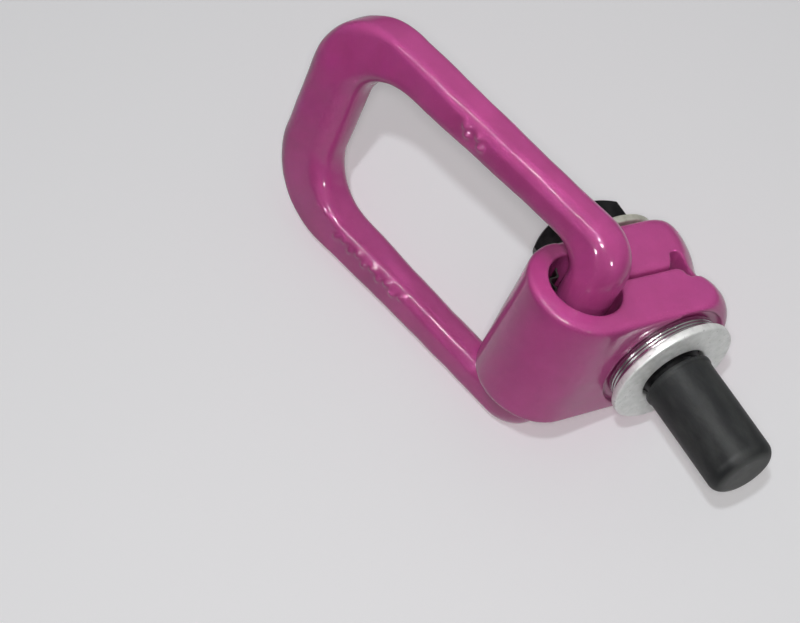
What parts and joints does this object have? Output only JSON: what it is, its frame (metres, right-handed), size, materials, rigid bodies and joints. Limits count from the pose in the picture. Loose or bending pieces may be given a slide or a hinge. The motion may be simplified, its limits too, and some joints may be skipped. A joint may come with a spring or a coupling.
{
  "type": "swivel hoist ring",
  "caption": "Side-pull swivel hoist ring: a forged body turns round a hexagon bolt and carries a hinged load link; a soft cap covers the thread.",
  "frame": {"origin": "centre of the seat face under the seat washer, on the bolt axis", "axes": "+Z along the bolt axis towards its head; -Y towards the link's pivot; +X along the link's pivot axis"},
  "size_m": [0.087, 0.0905, 0.1753],
  "materials": {
    "link_paint": "glossy magenta powder coat",
    "body_paint": "glossy magenta powder coat",
    "zinc": "zinc plated, satin",
    "bright": "turned steel",
    "black": "black oxide",
    "spring_steel": "oiled spring steel",
    "cap_rubber": "matte"
  },
  "bodies": {
    "clamp_stack": {"flanged_bush": "bright", "seat_washer": "zinc", "head_washer": "zinc"},
    "swivel_body": {"body": "body_paint", "clamp_spring": "spring_steel"},
    "load_link": {"link": "link_paint"},
    "bolt": {"bolt": "black", "retaining_ring": "spring_steel"},
    "cap": {"thread_cap": "cap_rubber"}
  },
  "joints": [
    {"name": "body_swivel", "type": "hinge", "parent": "clamp_stack", "child": "swivel_body", "pos_m": [0, 0, 0.0245], "axis": [0, 0, 1], "continuous": true},
    {"name": "link_pivot", "type": "hinge", "parent": "swivel_body", "child": "load_link", "pos_m": [0, -0.0284, 0.0233], "axis": [1, 0, 0], "range_deg": [-109, 79]},
    {"name": "bolt_turn", "type": "hinge", "parent": "clamp_stack", "child": "bolt", "pos_m": [0, 0, 0], "axis": [0, 0, 1], "continuous": true},
    {"name": "cap_pull", "type": "slide", "parent": "bolt", "child": "cap", "axis": [0, 0, -1], "range_m": [0, 0.045]}
  ]
}
